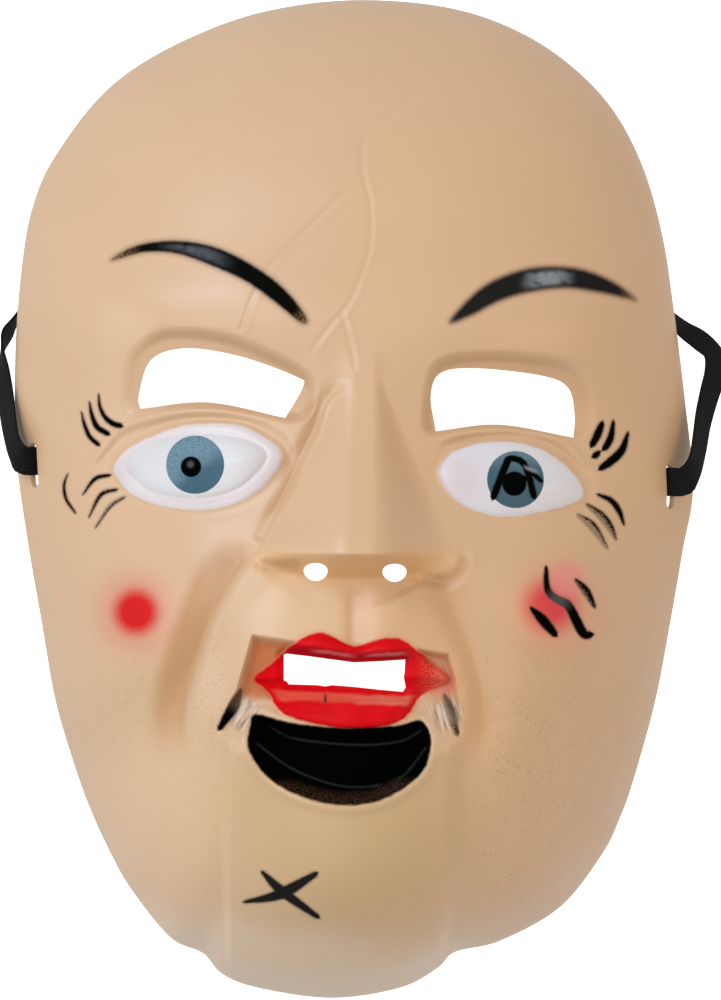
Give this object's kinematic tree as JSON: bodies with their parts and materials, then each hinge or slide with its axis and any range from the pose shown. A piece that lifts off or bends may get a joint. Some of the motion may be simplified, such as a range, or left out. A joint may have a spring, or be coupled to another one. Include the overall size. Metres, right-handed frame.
{
  "type": "doll face mask",
  "caption": "Moulded plastic face mask of a cracked doll with open eyes, nostrils and mouth, worn on an elastic strap",
  "frame": {"origin": "under the middle of the shell, on the plane of its rim", "axes": "+X to the right of the face as seen from the front, +Y to the forehead, +Z out of the face"},
  "size_m": [0.1794, 0.245, 0.0892],
  "materials": {
    "painted_plastic": "satin flesh paint with painted eyes, eyebrows, lips and stitches",
    "black_elastic": "woven black elastic"
  },
  "bodies": {
    "root": {"mask_shell": "painted_plastic", "elastic_strap": "black_elastic"}
  },
  "joints": []
}
